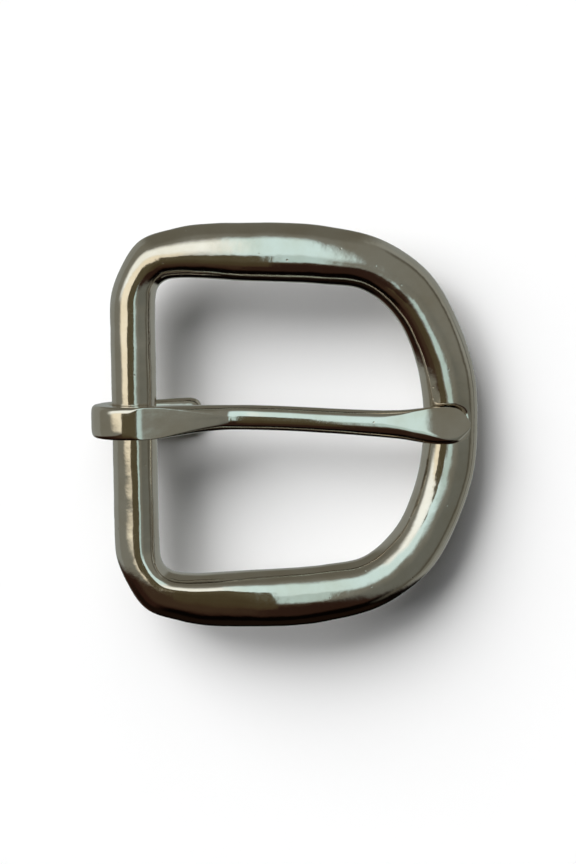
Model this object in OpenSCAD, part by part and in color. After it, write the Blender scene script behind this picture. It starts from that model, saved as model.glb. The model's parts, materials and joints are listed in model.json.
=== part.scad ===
// Heel-bar belt buckle: a cast D-shaped frame with its bar, and a tongue bent round that bar.
// It lies on its back: +Z is up and out of the belt, X runs along the tongue, Y across the belt.
// The origin is the middle of the whole buckle, on the surface that it lies on.

/* [Overall size] */
// Length along the belt, from the back of the tongue's loop to the far edge of the frame
overall_l = 52.3; // [46:0.1:60]
// Width of the frame across the belt, at its widest
frame_w = 54.2; // [50:0.1:60]
// Widest clear width inside the frame, for a belt about 1.5 mm narrower
inner_w = 39.8; // [36:0.1:42]

/* [Frame] */
// Diameter of the bar that the belt and the tongue turn on
bar_d = 6; // [5.5:0.1:6.5]
// Width of the casting at its far edge, where the tip of the tongue lies
far_w = 7.3; // [6.5:0.1:8]
// How far the top of the casting stands above its widest level
crown_h = 3.1; // [2.9:0.05:3.4]
// How far the back of the casting lies below its widest level
back_h = 2.75; // [2.5:0.05:3]
// Where the frame is highest along the belt, measured from the middle of the buckle
arch_x = -4.5; // [-8:0.5:0]
// Depth of the seat for the tip of the tongue, below the crown of the far edge
seat_depth = 0.85; // [0.6:0.05:1]

/* [Tongue] */
// Width of the strip that is bent round the bar
strip_w = 4.4; // [4:0.1:5]
// Thickness of that strip
strip_t = 2.7; // [2.4:0.05:3]
// Gap between the bar and the loop, on the radius
bar_gap = 0.1; // [0.05:0.01:0.1]
// Radius of the loop's outside edges
loop_edge_r = 1; // [0.6:0.1:1.2]
// Width of the round shaft at its middle
shaft_w = 3.25; // [2.8:0.05:3.8]
// Width of the flattened tip
tip_w = 5.1; // [4.4:0.1:5.4]
// How far the tip stops short of the far edge of the frame
tip_back = 1; // [0.8:0.1:2]
// Length of the tail under the frame, from the bar's axis to its end
tail_l = 8.7; // [6:0.1:10]

/* [Hidden] */
$fn = 64;

// Bar and loop
bar_r = bar_d / 2;
bore_r = bar_r + bar_gap;
loop_r = bore_r + strip_t;
bar_x = loop_r - overall_l / 2;
bar_z = loop_r;

// Frame: outer and inner edges, and the heights at its far edge
far_x = overall_l / 2;
outer_x0 = bar_x - bar_r;
outer_l = far_x - outer_x0;
inner_x0 = bar_x + bar_r;
inner_l = far_x - far_w - inner_x0;
crest_share = 0.42;
crest_x = far_x - far_w * (1 - crest_share);
crest_z = back_h + crown_h;

// The frame is bent over a large radius, from the bar's height down to the far edge on the table
arch_r = (pow(crest_x - arch_x, 2) - pow(bar_x - arch_x, 2)) / (2 * (bar_z - back_h));
arch_top = bar_z + pow(bar_x - arch_x, 2) / (2 * arch_r);

// Stations round one half of the frame, from the bar to the far edge:
// [outer along, outer across, inner along, inner across, place of the crest, crown, back, squareness],
// the first four as shares of the half outline, crown and back as shares of their heights above
stations = [
    [0.003, 0.480, -0.004, 0.658, 0.50, 0.92, 1.04, 1.00],
    [-0.002, 0.560, 0.002, 0.765, 0.50, 1.00, 1.12, 1.00],
    [0.003, 0.650, 0.002, 0.845, 0.50, 1.00, 1.11, 0.98],
    [0.034, 0.782, 0.010, 0.922, 0.48, 1.00, 1.08, 0.94],
    [0.092, 0.905, 0.036, 0.977, 0.45, 1.00, 1.05, 0.88],
    [0.184, 0.972, 0.091, 1.000, 0.43, 1.02, 1.02, 0.83],
    [0.381, 1.000, 0.354, 0.977, 0.42, 1.04, 1.00, 0.80],
    [0.583, 0.980, 0.617, 0.952, 0.42, 1.03, 1.00, 0.80],
    [0.739, 0.910, 0.772, 0.907, 0.42, 1.01, 1.00, 0.80],
    [0.860, 0.757, 0.882, 0.742, 0.42, 1.00, 1.00, 0.80],
    [0.949, 0.483, 0.957, 0.481, 0.42, 1.00, 1.00, 0.80],
    [0.993, 0.219, 0.990, 0.231, 0.42, 1.00, 1.00, 0.80],
    [1.000, 0.000, 1.000, 0.000, 0.42, 1.00, 1.00, 0.80],
];
last = len(stations) - 1;
frame_steps = 6;
frame_sides = 28;
// The bar runs on into both corners, to where the casting is just thicker than it
bar_end = stations[1][1] * frame_w / 2 - 0.1;

// Seat for the tip: a wide round groove across the far edge
seat_r = 5;
seat_z = crest_z - seat_depth;

// Tongue: stations from above the bar to the tip,
// [x, half width, top, underside, squareness: 1 is an ellipse and less is boxier]
tip_x = far_x - tip_back;
tip_gap = 0.25;
tip_under = seat_z + tip_gap;
loop_top = bar_z + loop_r;
tongue_stations = [
    [bar_x, strip_w / 2, loop_top + 0.9, loop_top - 4.5, 0.9],
    [bar_x + 2.2, strip_w / 2, loop_top + 0.7, loop_top - 4.7, 0.9],
    [bar_x + 6.2, strip_w / 2 - 0.15, loop_top - 0.4, loop_top - 5.1, 0.9],
    [bar_x + 10.8, shaft_w / 2 + 0.02, loop_top - 2.35, loop_top - 5.4, 0.95],
    [bar_x + 15.5, shaft_w / 2, loop_top - 2.7, loop_top - 5.75, 1],
    [bar_x + 22.4, shaft_w / 2, loop_top - 2.85, loop_top - 5.95, 1],
    [bar_x + 32.3, shaft_w / 2 + 0.08, loop_top - 3.1, loop_top - 6.15, 0.9],
    [tip_x - 9.4, tip_w / 2 - 0.55, loop_top - 3.3, tip_under + 0.15, 0.85],
    [tip_x - 5.6, tip_w / 2 - 0.2, loop_top - 3.8, tip_under, 0.85],
    [tip_x - 2.8, tip_w / 2, loop_top - 4.5, tip_under, 0.85],
    [tip_x - 1.1, tip_w / 2 - 0.35, loop_top - 5, tip_under, 0.85],
    [tip_x, 0.7, loop_top - 5.6, tip_under + 0.1, 0.8],
];
// Plane that flattens the top of the tongue beside the loop, and where it starts and ends
flat_angle = 14.5;
flat_start = bar_x + 2;
flat_end = bar_x + 11;
tongue_last = len(tongue_stations) - 1;
tongue_steps = 4;
tongue_sides = 24;
tail_t = 2.3;

// A smooth curve through stations: each slope is the one of the parabola through its neighbours
function slope(a, b, c, ha, hb) = ((b - a) * (hb / ha) + (c - b) * (ha / hb)) / (ha + hb);
function hermite(p0, p1, m0, m1, h, t) =
    p0 * (1 + 2 * t) * pow(1 - t, 2) + m0 * h * t * pow(1 - t, 2)
    + p1 * t * t * (3 - 2 * t) + m1 * h * t * t * (t - 1);

// One station of the frame with its outline in mm, mirrored where the list runs out at the far edge
function frame_station(i) = let (s = stations[abs(i) > last ? 2 * last - i : abs(i)],
                                 side = i < 0 || i > last ? -1 : 1)
    [outer_x0 + outer_l * s[0], side * s[1] * frame_w / 2,
     inner_x0 + inner_l * s[2], side * s[3] * inner_w / 2, s[4], s[5], s[6], s[7]];
// Below the first station the outline runs straight on along the bar
function frame_point(i) = i < 0 ? frame_station(0) - [0, 3, 0, 3, 0, 0, 0, 0] : frame_station(i);
function chord(i) = norm([for (k = [0:1]) frame_point(i + 1)[k] - frame_point(i)[k]]);
function frame_slope(i) =
    slope(frame_point(i - 1), frame_point(i), frame_point(i + 1), chord(i - 1), chord(i));
function frame_at(i, t) =
    hermite(frame_point(i), frame_point(i + 1), frame_slope(i), frame_slope(i + 1), chord(i), t);

// Height of the frame's centre over a place along the belt
function arch_z(x) = arch_top - pow(x - arch_x, 2) / (2 * arch_r);

// One upright cross-section of the casting: round inside its crest, longer outside, flatter below
function bend(v, power) = sign(v) * pow(abs(v), power);
function frame_ring(p) = let (
        outer = [p[0], p[1]],
        inner = [p[2], p[3]],
        width = norm(outer - inner),
        out = (outer - inner) / width,
        crest = inner + out * width * p[4],
        mid_z = arch_z(crest[0]))
    [for (k = [0:frame_sides - 1]) let (
        a = 360 * k / frame_sides,
        power = sin(a) < 0 ? p[7] : 1,
        reach = width * (cos(a) > 0 ? 1 - p[4] : p[4]),
        rise = sin(a) > 0 ? p[5] * crown_h : p[6] * back_h,
        at = crest + out * reach * bend(cos(a), power))
        [at[0], at[1], mid_z + rise * bend(sin(a), power)]];

// One upright cross-section of the tongue, cut off level where the flat crosses it
function flat_z(x) = x > flat_end ? loop_top : loop_top - max(0, x - flat_start) * tan(flat_angle);
function tongue_ring(p) =
    [for (k = [0:tongue_sides - 1]) let (
        a = 360 * k / tongue_sides,
        mid_z = (p[2] + p[3]) / 2,
        height = mid_z + (p[2] - p[3]) / 2 * bend(sin(a), p[4]))
        [p[0], p[1] * bend(cos(a), p[4]), min(height, flat_z(p[0]))]];
function tongue_h(i) = tongue_stations[i + 1][0] - tongue_stations[i][0];
function tongue_slope(i) = i == 0 || i == tongue_last
    ? (tongue_stations[max(i, 1)] - tongue_stations[max(i, 1) - 1]) / tongue_h(max(i, 1) - 1)
    : slope(tongue_stations[i - 1], tongue_stations[i], tongue_stations[i + 1],
            tongue_h(i - 1), tongue_h(i));
function tongue_at(i, t) = hermite(tongue_stations[i], tongue_stations[i + 1],
                                   tongue_slope(i), tongue_slope(i + 1), tongue_h(i), t);

// Closed solid through a list of rings, each with the same number of points
module skin(rings) {
    n = len(rings[0]);
    m = len(rings);
    sides = [for (j = [0:m - 2], k = [0:n - 1])
        [j * n + k, (j + 1) * n + k, (j + 1) * n + (k + 1) % n, j * n + (k + 1) % n]];
    start = [for (k = [0:n - 1]) k];
    end = [for (k = [0:n - 1]) m * n - 1 - k];
    polyhedron([for (r = rings, p = r) p], concat([start, end], sides), convexity = 6);
}

module along_bar(length, radius) {
    translate([bar_x, 0, bar_z])
        rotate([90, 0, 0])
            cylinder(h = length, r = radius, center = true);
}

module frame() {
    half = [for (i = [0:last - 1], s = [0:frame_steps - 1]) frame_ring(frame_at(i, s / frame_steps))];
    middle = [frame_ring(frame_point(last))];
    other = [for (j = [len(half) - 1:-1:0]) [for (p = half[j]) [p[0], -p[1], p[2]]]];
    color("silver")
        difference() {
            union() {
                skin(concat(half, middle, other));
                along_bar(2 * bar_end, bar_r);
            }
            translate([crest_x, 0, seat_z + seat_r])
                rotate([0, 90, 0])
                    cylinder(h = 2 * far_w, r = seat_r, center = true);
        }
}

// Cross-section of the bent strip, as turned about the bar: its outside edges are rounded
module strip_section() {
    flat_w = strip_w - 2 * loop_edge_r;
    translate([bore_r - 0.5, -strip_w / 2])
        square([strip_t + 0.5 - loop_edge_r, strip_w]);
    translate([bore_r - 0.5, -flat_w / 2])
        square([strip_t + 0.5, flat_w]);
    for (side = [-1, 1])
        translate([loop_r - loop_edge_r, side * flat_w / 2])
            circle(loop_edge_r);
}

module tail() {
    corner = 1;
    linear_extrude(tail_t)
        union() {
            translate([0, -strip_w / 2])
                square([tail_l - corner, strip_w]);
            translate([tail_l - 2 * corner, corner - strip_w / 2])
                square([2 * corner, strip_w - 2 * corner]);
            for (side = [-1, 1])
                translate([tail_l - corner, side * (strip_w / 2 - corner)])
                    circle(corner);
        }
}

module tongue() {
    rings = [for (i = [0:tongue_last - 1], s = [0:tongue_steps - 1])
        tongue_ring(tongue_at(i, s / tongue_steps))];
    color("silver")
        difference() {
            union() {
                difference() {
                    translate([bar_x, 0, bar_z])
                        rotate([90, 0, 0])
                            rotate_extrude()
                                strip_section();
                    translate([bar_x, -strip_w, 0])
                        cube([2 * loop_r, 2 * strip_w, 3 * loop_r]);
                }
                skin(concat(rings, [tongue_ring(tongue_stations[tongue_last])]));
                translate([bar_x, 0, 0])
                    tail();
            }
            along_bar(2 * strip_w, bore_r);
        }
}

frame();
tongue();
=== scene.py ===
import json
import math

import bpy
from mathutils import Matrix, Vector, noise


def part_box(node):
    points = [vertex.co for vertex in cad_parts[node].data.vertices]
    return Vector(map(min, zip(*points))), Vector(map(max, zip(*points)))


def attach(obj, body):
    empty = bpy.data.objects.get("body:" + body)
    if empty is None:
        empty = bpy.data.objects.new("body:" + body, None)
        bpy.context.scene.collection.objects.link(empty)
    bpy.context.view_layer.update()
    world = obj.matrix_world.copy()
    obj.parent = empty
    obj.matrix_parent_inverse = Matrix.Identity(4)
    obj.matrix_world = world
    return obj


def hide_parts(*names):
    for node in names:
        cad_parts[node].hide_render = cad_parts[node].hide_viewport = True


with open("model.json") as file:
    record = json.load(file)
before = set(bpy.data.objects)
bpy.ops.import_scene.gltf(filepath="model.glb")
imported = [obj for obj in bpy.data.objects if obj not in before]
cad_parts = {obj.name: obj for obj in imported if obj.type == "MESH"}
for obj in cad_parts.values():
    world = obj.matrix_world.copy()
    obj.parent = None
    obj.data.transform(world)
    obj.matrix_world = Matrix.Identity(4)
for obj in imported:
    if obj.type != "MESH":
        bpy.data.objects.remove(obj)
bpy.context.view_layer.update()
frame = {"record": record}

mm = 0.001


# where the parts lie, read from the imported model
pivot = Vector(frame["record"]["behaviour"]["joints"][0]["pos_m"])
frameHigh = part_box("frame")[1]
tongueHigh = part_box("tongue")[1]
loopRadius = tongueHigh.z / 2  # outside of the loop, which lies on the table


def smoothStep(low, high, value):
    share = min(max((value - low) / (high - low), 0), 1)
    return share * share * (3 - 2 * share)


def softMin(a, b, blend):
    # the lower of two heights, with the corner between them rounded over
    near = max(blend - abs(a - b), 0) / blend
    return min(a, b) - near * near * blend / 4


def power(value, exponent):
    return math.copysign(abs(value) ** exponent, value)


def smoothStations(stations, gaps, steps):
    # curve through the stations: each slope is that of the parabola through its neighbours
    count = len(stations)
    slopes = []
    for i in range(count):
        before, after = max(i - 1, 0), min(i + 1, count - 1)
        if before == i or after == i:
            slope = [(b - a) / gaps[before] for a, b in zip(stations[before], stations[after])]
        else:
            ha, hb = gaps[i - 1], gaps[i]
            slope = [((b - a) * hb / ha + (c - b) * ha / hb) / (ha + hb)
                     for a, b, c in zip(stations[before], stations[i], stations[after])]
        slopes.append(slope)
    curve = []
    for i in range(count - 1):
        h = gaps[i]
        for step in range(steps[i]):
            t = step / steps[i]
            w0, w1 = (1 + 2 * t) * (1 - t) ** 2, t * t * (3 - 2 * t)
            s0, s1 = h * t * (1 - t) ** 2, h * t * t * (t - 1)
            curve.append([w0 * a + w1 * b + s0 * ma + s1 * mb for a, b, ma, mb in
                          zip(stations[i], stations[i + 1], slopes[i], slopes[i + 1])])
    curve.append(list(stations[-1]))
    return curve


def sweptMesh(name, rings, closed):
    # skin of quads through rings of the same length, with both ends capped if it isn't a closed ring
    sides = len(rings[0])
    points = [point for ring in rings for point in ring]
    last = len(rings) if closed else len(rings) - 1
    faces = []
    for i in range(last):
        a, b = i * sides, (i + 1) % len(rings) * sides
        for k in range(sides):
            after = (k + 1) % sides
            faces.append((a + k, a + after, b + after, b + k))
    if not closed:
        for start, flip in ((0, True), ((len(rings) - 1) * sides, False)):
            points.append(sum((points[start + k] for k in range(sides)), Vector()) / sides)
            centre = len(points) - 1
            for k in range(sides):
                pair = (start + k, start + (k + 1) % sides)
                faces.append((centre, *(reversed(pair) if flip else pair)))
    mesh = bpy.data.meshes.new(name)
    mesh.from_pydata(points, [], faces)
    mesh.validate()
    mesh.shade_smooth()
    piece = bpy.data.objects.new(name, mesh)
    bpy.context.scene.collection.objects.link(piece)
    return piece


def polishWaves(piece, rings, waves):
    # hand polishing leaves soft ridges that run along the piece: in and out along the normal
    mesh = piece.data
    sides = len(rings[0])
    quarter = sides / 4
    middles = [sum(ring, Vector()) / sides for ring in rings]
    run, travelled = [0], 0
    for before, after in zip(middles, middles[1:]):
        travelled += (after - before).length
        run.append(travelled)
    normals = [vertex.normal.copy() for vertex in mesh.vertices]
    for i, along in enumerate(run):
        for k in range(sides):
            vertex = mesh.vertices[i * sides + k]
            offset = vertex.co - middles[i]
            # how far across, positive on the outer half of the ring
            side = math.hypot(offset.x, offset.y) * (1 if k < quarter or k > 3 * quarter else -1)
            shift = 0
            for length, width, height, seed in waves:
                place = Vector((along / (length * mm), side / (width * mm), offset.z / (width * mm) + seed))
                shift += noise.noise(place) * height * mm
            vertex.co += normals[vertex.index] * shift
    mesh.update()


# The frame: one casting, bar and ring together.
# stations run round one half from the bar to the far edge, much as in the CAD, as shares of the size:
# outer along, outer across, inner along, inner across, place of the crest, crown, back, squareness
frameSpec = {
    "barRadius": 3.0,
    "barGap": 0.5,        # between the rings of the straight bar
    "innerWidth": 39.8,
    "farWidth": 7.3,
    "crownHeight": 3.1,   # from the widest level of the section up to its crest
    "backHeight": 2.75,   # and down to its underside
    "archX": -4.5,        # the arch is highest here, and comes down to the bar and to the far edge
    "crestShare": 0.42,   # where the crest lies on the far edge, counted from the hole
    "seatDepth": 0.85,    # seat under the tip: flat bottomed, and hardly wider than the tip
    "seatHalf": 2.4,
    "seatEdge": 0.10,
    "seatAside": 0.22,
    # the lower arm was ground to a crest nearer the hole, then a little away from it:
    # (from x, to x, share of the width), each coming in and going out over twice crestFade
    "lowerCrest": [(-23.0, -6.0, 0.13), (-2.0, 18.0, -0.05)],
    "crestFade": 3.0,
    "sides": 96,
    "ringGap": 0.3,
    # length along, width across, height and seed of each layer of polishing ridges
    "waves": [(16.0, 4.0, 0.06, 3.0), (7.0, 1.5, 0.022, 31.0), (2.4, 2.4, 0.028, 57.0)],
    "stations": [
        [0.000, 0.480, 0.000, 0.658, 0.50, 0.968, 1.091, 1.00],
        [0.000, 0.560, 0.001, 0.765, 0.50, 0.975, 1.098, 1.00],
        [0.004, 0.650, 0.002, 0.845, 0.50, 0.985, 1.09, 0.98],
        [0.032, 0.785, 0.010, 0.922, 0.48, 1.00, 1.07, 0.94],
        [0.082, 0.913, 0.036, 0.977, 0.45, 1.00, 1.05, 0.88],
        [0.180, 0.976, 0.091, 1.000, 0.43, 1.02, 1.02, 0.83],
        [0.381, 1.000, 0.354, 0.977, 0.42, 1.04, 1.00, 0.80],
        [0.583, 0.980, 0.617, 0.952, 0.42, 1.03, 1.00, 0.80],
        [0.739, 0.910, 0.772, 0.907, 0.42, 1.01, 1.00, 0.80],
        [0.860, 0.757, 0.882, 0.742, 0.42, 1.00, 1.00, 0.80],
        [0.949, 0.483, 0.957, 0.481, 0.42, 1.00, 1.00, 0.80],
        [0.993, 0.219, 0.990, 0.231, 0.42, 1.00, 1.00, 0.80],
        [1.000, 0.000, 1.000, 0.000, 0.42, 1.00, 1.00, 0.80],
    ],
}


def makeFrame(spec):
    barX, barZ = pivot.x / mm, pivot.z / mm
    barRadius = spec["barRadius"]
    halfWidth, far = frameHigh.y / mm, frameHigh.x / mm
    outerStart, innerStart = barX - barRadius, barX + barRadius
    outerLength, innerLength = far - outerStart, far - spec["farWidth"] - innerStart
    crestX = far - spec["farWidth"] * (1 - spec["crestShare"])
    archX = spec["archX"]
    archRadius = ((crestX - archX) ** 2 - (barX - archX) ** 2) / (2 * (barZ - spec["backHeight"]))
    archTop = barZ + (barX - archX) ** 2 / (2 * archRadius)

    stations = [[outerStart + outerLength * s[0], halfWidth * s[1],
                 innerStart + innerLength * s[2], spec["innerWidth"] / 2 * s[3], *s[4:]]
                for s in spec["stations"]]
    # one more station down the bar and one past the far edge, so that the curve has its slope at both ends
    below = list(stations[0])
    below[1] -= spec["barRadius"]
    below[3] -= spec["barRadius"]
    beyond = list(stations[-2])
    beyond[1], beyond[3] = -beyond[1], -beyond[3]
    run = [below, *stations, beyond]
    gaps = [math.dist(a[:2], b[:2]) for a, b in zip(run, run[1:])]
    steps = [max(3, round(gap / spec["ringGap"])) for gap in gaps]
    curve = smoothStations(run, gaps, steps)
    half = curve[steps[0]:len(curve) - steps[-1]]

    # the straight bar, from its middle out to the first station
    barCount = round(stations[0][1] / spec["barGap"])
    bar = []
    for i in range(barCount):
        row = list(stations[0])
        row[1] = stations[0][1] * i / barCount
        row[3] = stations[0][3] * i / barCount
        bar.append(row)
    half = bar + half

    seatZ = spec["backHeight"] + spec["crownHeight"] - spec["seatDepth"]

    def ringAt(p, lower):
        outer, inner = Vector(p[:2]), Vector(p[2:4])
        width = (outer - inner).length
        out = (outer - inner) / width
        share, fade = p[4], spec["crestFade"]
        for low, high, moved in spec["lowerCrest"] if lower else ():
            share -= (moved * smoothStep(low - fade, low + fade, outer.x)
                      * smoothStep(high + fade, high - fade, outer.x))
        crest = inner + out * width * share
        middle = archTop - (crest.x - archX) ** 2 / (2 * archRadius)
        ring = []
        for k in range(spec["sides"]):
            angle = 2 * math.pi * k / spec["sides"]
            across, up = math.cos(angle), math.sin(angle)
            exponent = p[7] if up < 0 else 1
            reach = width * ((1 - share) if across > 0 else share)
            rise = p[5] * spec["crownHeight"] if up > 0 else p[6] * spec["backHeight"]
            at = crest + out * reach * power(across, exponent)
            z = middle + rise * power(up, exponent)
            aside = (at.y * (-1 if lower else 1) - spec["seatAside"]) / spec["seatHalf"]
            if up > 0 and at.x > 0:
                z = softMin(z, seatZ + spec["seatDepth"] * aside ** 4, spec["seatEdge"])
            ring.append(Vector((at.x, at.y, z)) * mm)
        return ring

    rings = [ringAt(p, False) for p in half]
    for p in reversed(half[1:-1]):
        rings.append([Vector((at.x, -at.y, at.z)) for at in ringAt(p, True)])
    piece = sweptMesh("buckle_frame", rings, closed=True)
    polishWaves(piece, rings, spec["waves"])
    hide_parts("frame")
    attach(piece, "frame")
    print("frame:", len(piece.data.vertices), "points")
    return piece


# The tongue: one strip, from the end of its tail, round the bar and along to the tip.
# tail and shaft hold [outer x, outer z, inner x, inner z, half width, squareness of the outer side,
# squareness of the inner side] from the bar's axis
tongueSpec = {
    "bore": 3.1,
    "stripHalf": 2.2,
    "sides": 80,
    "ringGap": 0.22,
    "loopOuterSquare": 0.40,
    "loopInnerSquare": 0.36,
    # the loop lies a little along the bar and the shaft isn't quite straight: [x, how far aside]
    "lean": [[-6, 0.90], [2, 0.98], [11, 1.34], [19, 1.18],
             [27, 0.70], [34, 0.24], [41, -0.06], [46, -0.16]],
    "leanSteps": 8,
    "crownRadius": 7.0,   # the top of the loop is filed a little flatter than its back
    "flatAngle": 14.5,
    "flatStart": 1.9,
    "flatEnd": 13.0,
    "flatTilt": -7.0,     # the filed flat turns a little to one side along its length
    "flatEdge": 0.10,
    # the tip's top rolls over into its slope from tipFlatStart on, within tipFlatRoll. Towards the
    # loop its plane rises clear of the shaft, and it isn't looked at further back than tipFlatReach
    "tipFlatStart": 37.4,
    "tipFlatRoll": 4.0,
    "tipFlatRise": 0.3,
    "tipFlatReach": 8.0,
    "tipFlatHeight": 2.28,
    "tipFlatAngle": 16.5,
    "tipFlatTilt": 14.0,
    "tail": [
        [8.70, -5.25, 8.70, -4.30, 1.10, 0.95, 1.00],
        [8.55, -5.60, 8.55, -3.92, 1.55, 0.92, 1.10],
        [8.20, -5.76, 8.20, -3.58, 1.95, 0.85, 1.25],
        [7.50, -5.80, 7.50, -3.36, 2.22, 0.80, 1.30],
        [6.00, -5.80, 6.00, -3.30, 2.30, 0.75, 1.25],
        [3.20, -5.80, 3.20, -3.36, 2.28, 0.60, 0.90],
    ],
    "shaft": [
        [1.70, 6.20, 1.40, 2.77, 2.20, 0.50, 0.36],
        [3.60, 5.95, 2.36, 2.01, 2.18, 0.60, 0.42],
        [6.20, 5.10, 4.30, 0.95, 2.08, 0.78, 0.70],
        [8.50, 4.22, 7.20, 0.50, 1.88, 0.86, 0.90],
        [10.8, 3.44, 10.3, 0.22, 1.72, 0.96, 1.00],
        [12.9, 2.72, 12.7, 0.02, 1.65, 1.00, 1.00],
        [14.6, 2.58, 14.5, -0.12, 1.65, 1.00, 1.00],
        [17.0, 2.62, 17.0, -0.20, 1.66, 1.00, 1.00],
        [22.4, 2.62, 22.4, -0.30, 1.66, 1.00, 1.00],
        [30.0, 2.58, 30.0, -0.42, 1.73, 1.00, 1.00],
        [33.2, 2.54, 33.2, -0.46, 1.82, 0.98, 0.98],
        [36.2, 2.48, 36.2, -0.52, 2.00, 0.92, 0.95],
        [38.2, 2.44, 38.2, -0.58, 2.26, 0.80, 0.92],
        [39.8, 2.38, 39.8, -0.62, 2.44, 0.72, 0.90],
        [41.4, 2.22, 41.4, -0.65, 2.50, 0.72, 0.90],
        [42.7, 1.90, 42.7, -0.65, 2.44, 0.74, 0.90],
        [43.6, 1.55, 43.6, -0.64, 2.18, 0.78, 0.90],
        [44.4, 1.15, 44.4, -0.60, 1.50, 0.86, 0.90],
        [44.9, 0.85, 44.9, -0.54, 0.90, 0.88, 0.92],
        [45.2, 0.60, 45.2, -0.44, 0.42, 0.92, 0.94],
    ],
    "waves": [(12.0, 2.5, 0.03, 5.0), (5.0, 0.9, 0.010, 23.0), (1.8, 1.8, 0.008, 41.0)],
}


def makeTongue(spec):
    outerR, bore = loopRadius / mm, spec["bore"]
    half = spec["stripHalf"]
    # the loop's own stations: a half turn about the bar from under it, round the back, to the top
    turn = []
    for degrees in range(270, 89, -15):
        c, s = math.cos(math.radians(degrees)), math.sin(math.radians(degrees))
        turn.append([outerR * c, outerR * s, bore * c, bore * s, half,
                     spec["loopOuterSquare"], spec["loopInnerSquare"]])
    stations = spec["tail"] + turn + spec["shaft"]
    gaps = [(math.dist(a[:2], b[:2]) + math.dist(a[2:4], b[2:4])) / 2
            for a, b in zip(stations, stations[1:])]
    steps = [max(2, round(gap / spec["ringGap"])) for gap in gaps]
    curve = smoothStations(stations, gaps, steps)
    leanGaps = [b[0] - a[0] for a, b in zip(spec["lean"], spec["lean"][1:])]
    lean = smoothStations(spec["lean"], leanGaps, [spec["leanSteps"]] * len(leanGaps))
    slope = math.tan(math.radians(spec["flatAngle"]))
    tipSlope = math.tan(math.radians(spec["tipFlatAngle"]))
    tilt = math.tan(math.radians(spec["flatTilt"]))
    tipTilt = math.tan(math.radians(spec["tipFlatTilt"]))
    flatHigh = outerR - spec["flatStart"] ** 2 / (2 * spec["crownRadius"])

    def aside(x):
        for (x0, y0), (x1, y1) in zip(lean, lean[1:]):
            if x <= x1:
                return y0 + (y1 - y0) * (x - x0) / (x1 - x0)
        return lean[-1][1]

    def flatHeight(x, y):
        # the filed flat beside the loop, and the one on top of the tip
        if x <= spec["flatStart"]:
            return outerR - max(x, 0) ** 2 / (2 * spec["crownRadius"])
        if x <= spec["flatEnd"]:
            turned = tilt * smoothStep(spec["flatStart"], spec["flatEnd"], x)
            return flatHigh - (x - spec["flatStart"]) * slope - turned * y
        past, roll = x - spec["tipFlatStart"], spec["tipFlatRoll"]
        if past < -spec["tipFlatReach"]:
            return math.inf
        bent = min(max(past, 0), roll)
        drop = bent * bent / 2 / roll + max(past - roll, 0) - max(-past, 0) * spec["tipFlatRise"]
        return spec["tipFlatHeight"] - tipSlope * drop - tipTilt * y

    def ringAt(p, isShaft):
        outer, inner = Vector((p[0], 0, p[1])), Vector((p[2], 0, p[3]))
        middle, reach = (outer + inner) / 2, (outer - inner) / 2
        ring = []
        for k in range(spec["sides"]):
            angle = 2 * math.pi * k / spec["sides"]
            across, up = math.cos(angle), math.sin(angle)
            exponent = p[5] if up > 0 else p[6]
            point = middle + reach * power(up, exponent)
            point.y = p[4] * power(across, exponent)
            if isShaft and up > 0:
                point.z = softMin(point.z, flatHeight(point.x, point.y), spec["flatEdge"])
            point.y += aside(point.x)
            ring.append(pivot + point * mm)
        return ring

    topIndex = sum(steps[:len(spec["tail"]) + len(turn) - 1])
    rings = [ringAt(p, i >= topIndex) for i, p in enumerate(curve)]
    piece = sweptMesh("buckle_tongue", rings, closed=False)
    polishWaves(piece, rings, spec["waves"])
    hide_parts("tongue")
    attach(piece, "tongue")
    print("tongue:", len(piece.data.vertices), "points")
    return piece


def hexToLinear(colour):
    parts = [int(colour[i:i + 2], 16) / 255 for i in (0, 2, 4)]
    return tuple(p / 12.92 if p <= 0.04045 else ((p + 0.055) / 1.055) ** 2.4 for p in parts) + (1,)


def perMetre(sizeInMm):
    return 1 / (sizeInMm * mm)


def addNode(tree, kind, settings=None, links=None):
    # settings: a property by its name, or an input socket by its name or number
    node = tree.nodes.new(kind)
    for name, value in (settings or {}).items():
        if isinstance(name, str) and hasattr(node, name):
            setattr(node, name, value)
        else:
            node.inputs[name].default_value = value
    for name, source in (links or {}).items():
        tree.links.new(source, node.inputs[name])
    return node


# Bright nickel plate on a polished casting: a warm silver mirror. The polish follows the casting's
# own unevenness, so reflections have wavering edges, with a few pits, fine rub marks and a faint
# yellow film where hands and leather don't reach.
nickelSpec = {
    "clean": "D6CDC1",
    "film": "CBBFAE",
    "filmSize": 9.0,
    "filmRange": (0.42, 0.70),
    "roughness": 0.085,
    "rubbedRoughness": 0.17,
    "rubbedRange": (0.45, 0.85),
    "peelSize": 0.75,     # orange peel of the plating, between its humps
    "peelHeight": 0.012,
    "waveSize": 2.6,
    "waveHeight": 0.03,
    "pitSpacing": 2.2,
    "pitSize": 0.17,
    "pitDepth": 0.05,
    "scratchSize": 0.05,
    "scratchCoarser": 10,  # real rub marks are too fine to show, so they're drawn this much coarser
}


# The tongue was filed before plating: smoother, and its marks run along it. It shows calm, even flats.
tongueNickelSpec = {**nickelSpec, "waveHeight": 0.012, "peelHeight": 0.008, "pitSpacing": 3.4}


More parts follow.
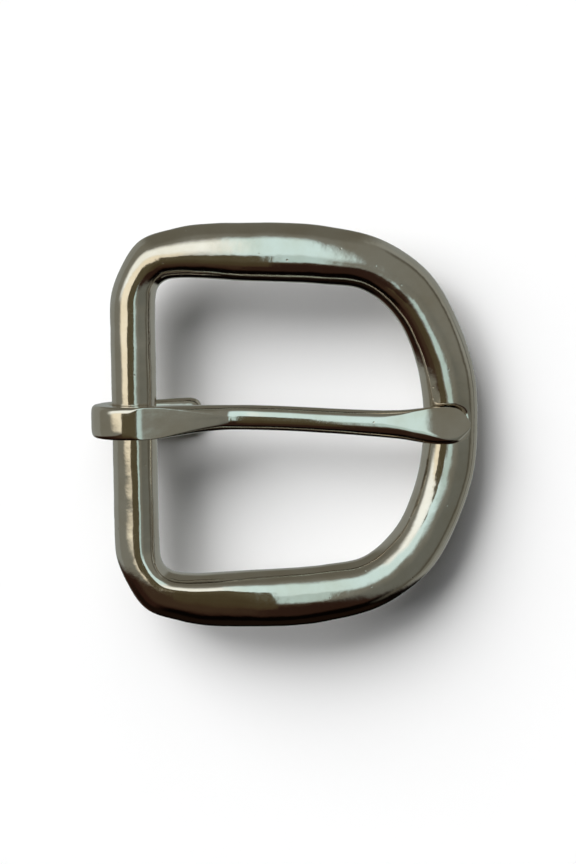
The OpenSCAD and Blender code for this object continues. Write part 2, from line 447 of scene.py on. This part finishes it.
def nickelPlate(name, spec, scratchAlong):
    material = bpy.data.materials.new(name)
    material.use_nodes = True
    tree = material.node_tree
    tree.nodes.clear()
    place = addNode(tree, "ShaderNodeTexCoord").outputs["Object"]

    film = addNode(tree, "ShaderNodeTexNoise",
                   {"Scale": perMetre(spec["filmSize"]), "Detail": 4.0, "Roughness": 0.6},
                   {"Vector": place})
    filmLow, filmHigh = spec["filmRange"]
    filmShare = addNode(tree, "ShaderNodeMapRange",
                        {"From Min": filmLow, "From Max": filmHigh}, {"Value": film.outputs["Fac"]})
    colour = addNode(tree, "ShaderNodeMix",
                     {"data_type": "RGBA", 6: hexToLinear(spec["clean"]), 7: hexToLinear(spec["film"])},
                     {0: filmShare.outputs[0]})

    # fine rub marks
    stretch = addNode(tree, "ShaderNodeMapping", {"Scale": scratchAlong}, {"Vector": place})
    marks = addNode(tree, "ShaderNodeTexNoise",
                    {"Scale": perMetre(spec["scratchSize"] * spec["scratchCoarser"]),
                     "Detail": 5.0, "Roughness": 0.7}, {"Vector": stretch.outputs[0]})
    rubbedLow, rubbedHigh = spec["rubbedRange"]
    rough = addNode(tree, "ShaderNodeMapRange",
                    {"From Min": rubbedLow, "From Max": rubbedHigh, "To Min": spec["roughness"],
                     "To Max": spec["rubbedRoughness"]}, {"Value": marks.outputs["Fac"]})

    # unevenness of the casting, orange peel of the plating, and a few pits
    waves = addNode(tree, "ShaderNodeTexNoise",
                    {"Scale": perMetre(spec["waveSize"]), "Detail": 1.0}, {"Vector": place})
    peel = addNode(tree, "ShaderNodeTexNoise",
                   {"Scale": perMetre(spec["peelSize"]), "Detail": 3.0, "Roughness": 0.5},
                   {"Vector": place})
    pits = addNode(tree, "ShaderNodeTexVoronoi", {"Scale": perMetre(spec["pitSpacing"])},
                   {"Vector": place})
    pitSize = spec["pitSize"] / spec["pitSpacing"]
    pitShape = addNode(tree, "ShaderNodeMapRange",
                       {"interpolation_type": "SMOOTHSTEP", "From Min": 0.0, "From Max": pitSize},
                       {"Value": pits.outputs["Distance"]})

    normal = None  # each bump goes on top of the one before
    for height, source in ((spec["waveHeight"], waves.outputs["Fac"]),
                           (spec["peelHeight"], peel.outputs["Fac"]),
                           (spec["pitDepth"], pitShape.outputs[0])):
        links = {"Height": source}
        if normal is not None:
            links["Normal"] = normal
        bump = addNode(tree, "ShaderNodeBump", {"Strength": 1.0, "Distance": height * mm}, links)
        normal = bump.outputs[0]

    shader = addNode(tree, "ShaderNodeBsdfPrincipled", {"Metallic": 1.0},
                     {"Base Color": colour.outputs[2], "Roughness": rough.outputs[0],
                      "Normal": normal})
    addNode(tree, "ShaderNodeOutputMaterial", None, {"Surface": shader.outputs[0]})
    return material


# What the polished metal mirrors: a grey room with a bright window, and a dark side.
# "over" patches are two angles from straight up, towards +X and towards +Y; "round" patches are a
# compass angle from +X and an angle down from straight up. All angles are in degrees, each patch is
# (kind, colour, strength, low, high, softness of the first angle, the same three of the second).
studioSpec = {
    "surround": ("868982", 1.0),
    "floorLight": 0.02,      # what the room adds to the window light on the floor
    "horizon": (0.02, 0.10),  # "over" patches come in between these heights of the direction
    "patches": [
        # the table and the walls, with a painted shadow of the buckle on the table towards +Y
        ("round", "979D9A", 1.0, -200, 200, 5, 99, 200, 4),
        ("round", "737873", 1.0, -62, -3, 10, 34, 88, 8),
        ("round", "9BA09B", 1.0, 0, 62, 8, 81, 102, 4),
        # darker towards +Y: the wall above the horizon, and below it a painted shadow of the buckle on the
        # table
        ("round", "73746B", 1.0, 62, 128, 8, 66, 150, 8),
        # dark side of the room, blacker towards the table, the grey edge of the table round it, and a line
        # of painted shade below the horizon
        ("round", "45372A", 1.0, -153, -56, 4, 24, 140, 6),
        ("round", "33211A", 1.0, -153, -50, 5, 60, 140, 8),
        ("round", "33231C", 1.0, -97, -50, 9, 32, 75, 6),
        ("round", "060403", 1.0, -118, -50, 6, 66, 150, 5),
        ("round", "1C130E", 1.0, -146, -60, 6, 88, 118, 6),
        ("round", "5C5B52", 1.0, -55, 48, 8, 76, 85, 5),
        # painted shade: a thin dark line just below the horizon towards +X
        ("round", "5A5950", 1.0, -30, 16, 6, 103, 108, 3),
        # window: cool to the right, brighter and warmer to the left
        ("over", "D9F8FF", 1.25, -10, 24, 5, -1, 51, 8),
        ("over", "F4FEFF", 1.45, -66, -6, 9, 6, 44, 11),
        ("over", "FFFCE9", 1.25, -57, -20, 8, -11, 12, 5),
        ("over", "CBEAEE", 1.05, 3, 18.5, 3, -21, 2, 4),
    ],
    # dark flag over the buckle, beside the lens, in mm: it takes the window off the crest.
    # Its shades of painted light come in one after another along y: (colour, from y, to y)
    "flagLow": (-108, -200),
    "flagHigh": (9, 30),
    "flagHeight": 204,
    "flagPaintedTone": "47392A",
    "flagPaintedLight": [("4F4733", -200, -140), ("5E5945", -110, -40)],
}


def makeStudio(spec):
    world = bpy.data.worlds.new("studio")
    bpy.context.scene.world = world
    world.use_nodes = True
    tree = world.node_tree
    tree.nodes.clear()
    ray = addNode(tree, "ShaderNodeTexCoord").outputs["Generated"]
    x, y, z = addNode(tree, "ShaderNodeSeparateXYZ", None, {0: ray}).outputs

    def maths(operation, a, b=None):
        links = {0: a} if b is None else {0: a, 1: b}
        return addNode(tree, "ShaderNodeMath", {"operation": operation}, links).outputs[0]

    angles = {
        "over": (maths("DEGREES", maths("ARCTAN2", x, z)), maths("DEGREES", maths("ARCTAN2", y, z))),
        "round": (maths("DEGREES", maths("ARCTAN2", y, x)), maths("DEGREES", maths("ARCCOSINE", z))),
    }

    def between(angle, low, high, soft):
        edges = []
        for middle, side in ((low, 1), (high, -1)):
            edges.append(addNode(tree, "ShaderNodeMapRange",
                                 {"interpolation_type": "SMOOTHSTEP", "From Min": middle - side * soft,
                                  "From Max": middle + side * soft}, {"Value": angle}).outputs[0])
        return maths("MULTIPLY", *edges)

    def lit(colour, strength):
        return tuple(c * strength for c in hexToLinear(colour)[:3]) + (1,)

    horizonLow, horizonHigh = spec["horizon"]
    above = addNode(tree, "ShaderNodeMapRange",
                    {"interpolation_type": "SMOOTHSTEP", "From Min": horizonLow, "From Max": horizonHigh},
                    {"Value": z}).outputs[0]
    surround = addNode(tree, "ShaderNodeRGB")
    surround.outputs[0].default_value = lit(*spec["surround"])
    seen = surround.outputs[0]
    for kind, colour, strength, low, high, soft, low2, high2, soft2 in spec["patches"]:
        first, second = angles[kind]
        share = maths("MULTIPLY", between(first, low, high, soft), between(second, low2, high2, soft2))
        if kind == "over":
            share = maths("MULTIPLY", share, above)
        seen = addNode(tree, "ShaderNodeMix", {"data_type": "RGBA", 7: lit(colour, strength)},
                       {0: share, 6: seen}).outputs[2]

    # the metal mirrors the room, the backdrop is plain white, and the floor gets a little even light
    mirror = addNode(tree, "ShaderNodeBackground", {"Strength": 1.0}, {"Color": seen})
    plain = addNode(tree, "ShaderNodeBackground", {"Strength": 1.0, "Color": (1, 1, 1, 1)})
    soft = addNode(tree, "ShaderNodeBackground",
                   {"Strength": spec["floorLight"], "Color": (1, 1, 1, 1)})
    path = addNode(tree, "ShaderNodeLightPath").outputs
    toCamera = addNode(tree, "ShaderNodeMixShader", None,
                       {0: path["Is Camera Ray"], 1: mirror.outputs[0], 2: plain.outputs[0]})
    toFloor = addNode(tree, "ShaderNodeMixShader", None,
                      {0: path["Is Diffuse Ray"], 1: toCamera.outputs[0], 2: soft.outputs[0]})
    addNode(tree, "ShaderNodeOutputWorld", None, {"Surface": toFloor.outputs[0]})
    makeFlag(spec)
    print("studio surroundings made")


def makeFlag(spec):
    # a card that only the metal sees
    (x0, y0), (x1, y1), z = spec["flagLow"], spec["flagHigh"], spec["flagHeight"]
    mesh = bpy.data.meshes.new("studio_flag")
    corners = [(x0, y0, z), (x0, y1, z), (x1, y1, z), (x1, y0, z)]
    mesh.from_pydata([Vector(corner) * mm for corner in corners], [], [(0, 1, 2, 3)])
    flag = bpy.data.objects.new("studio_flag", mesh)
    bpy.context.scene.collection.objects.link(flag)
    # matt dark cloth that glows instead of being lit: its tone is painted room light, even and with no
    # gloss, and the painted light is greener towards the window
    material = bpy.data.materials.new("flag cloth glowing with painted room light")
    material.use_nodes = True
    tree = material.node_tree
    tree.nodes.clear()
    place = addNode(tree, "ShaderNodeNewGeometry").outputs["Position"]
    along = addNode(tree, "ShaderNodeSeparateXYZ", None, {0: place}).outputs["Y"]
    cloth = addNode(tree, "ShaderNodeRGB")
    cloth.outputs[0].default_value = hexToLinear(spec["flagPaintedTone"])
    colour = cloth.outputs[0]
    for shade, low, high in spec["flagPaintedLight"]:
        share = addNode(tree, "ShaderNodeMapRange", {"From Min": low * mm, "From Max": high * mm},
                        {"Value": along})
        colour = addNode(tree, "ShaderNodeMix", {"data_type": "RGBA", 7: hexToLinear(shade)},
                         {0: share.outputs[0], 6: colour}).outputs[2]
    # the card glows: painted room light on the dark cloth, not light from any lamp
    glow = addNode(tree, "ShaderNodeEmission", None, {"Color": colour})
    addNode(tree, "ShaderNodeOutputMaterial", None, {"Surface": glow.outputs[0]})
    mesh.materials.append(material)
    for kind in ("camera", "diffuse", "shadow", "transmission", "volume_scatter"):
        setattr(flag, "visible_" + kind, False)


# Matt white paper: an even pale ground that takes a soft shadow and has no gloss.
floorSpec = {
    "size": 3.0,  # in metres, well past the edges of every view
    "colour": "F4F4F4",
    # soft window light from the upper left, wider along the wall than up and down:
    # (compass angle from +X towards +Y, share of the whole)
    "windows": [(85, 0.13), (128, 0.53), (160, 0.34)],
    "windowElevation": 32,
    "windowSpread": 42,
    "windowStrength": 6.45,
}


def makeFloor(spec):
    side = spec["size"] / 2
    mesh = bpy.data.meshes.new("floor")
    mesh.from_pydata([(-side, -side, 0), (side, -side, 0), (side, side, 0), (-side, side, 0)],
                     [], [(0, 1, 2, 3)])
    floor = bpy.data.objects.new("floor", mesh)
    bpy.context.scene.collection.objects.link(floor)
    material = bpy.data.materials.new("pale paper floor")
    material.use_nodes = True
    shader = material.node_tree.nodes["Principled BSDF"]
    shader.inputs["Base Color"].default_value = hexToLinear(spec["colour"])
    shader.inputs["Roughness"].default_value = 1.0
    shader.inputs["Specular IOR Level"].default_value = 0.0
    mesh.materials.append(material)
    floor.visible_glossy = False

    elevation = math.radians(spec["windowElevation"])
    for azimuth, share in spec["windows"]:
        sun = bpy.data.lights.new("window light", "SUN")
        sun.energy = spec["windowStrength"] * share
        sun.angle = math.radians(spec["windowSpread"])
        lamp = bpy.data.objects.new("window light", sun)
        bpy.context.scene.collection.objects.link(lamp)
        level = Vector((math.cos(math.radians(azimuth)), math.sin(math.radians(azimuth)), 0))
        towards = level * math.cos(elevation) + Vector((0, 0, math.sin(elevation)))
        lamp.rotation_euler = towards.to_track_quat("Z", "Y").to_euler()
        lamp.visible_glossy = False
    print("floor and window light made")


cameraSpec = {
    "place": (2.0, 22.0, 206.0),  # held over the buckle, a little above its middle
    "aim": (0.3, -0.85, 5.8),
    "roll": -0.5,
    "lens": 62.3,
}


def makeCamera(spec):
    data = bpy.data.cameras.new("camera")
    data.lens = spec["lens"]
    data.clip_start, data.clip_end = 0.005, 10
    camera = bpy.data.objects.new("camera", data)
    bpy.context.scene.collection.objects.link(camera)
    place, aim = Vector(spec["place"]) * mm, Vector(spec["aim"]) * mm
    look = (aim - place).normalized()
    right = look.cross(Vector((0, 1, 0))).normalized()
    up = right.cross(look)
    turn = Matrix((right, up, -look)).transposed().to_4x4()
    camera.matrix_world = (Matrix.Translation(place) @ turn
                           @ Matrix.Rotation(math.radians(spec["roll"]), 4, "Z"))
    bpy.context.scene.camera = camera
    print("camera placed")


makeCamera(cameraSpec)
buckleFrame = makeFrame(frameSpec)
buckleTongue = makeTongue(tongueSpec)
castPlate = nickelPlate("nickel plate, polished casting", nickelSpec, scratchAlong=(1, 1, 1))
filedPlate = nickelPlate("nickel plate, filed and polished", tongueNickelSpec, scratchAlong=(0.08, 1, 1))
buckleFrame.data.materials.append(castPlate)
buckleTongue.data.materials.append(filedPlate)
print("nickel plate made")
makeStudio(studioSpec)
makeFloor(floorSpec)
bpy.context.scene.view_settings.view_transform = "Standard"
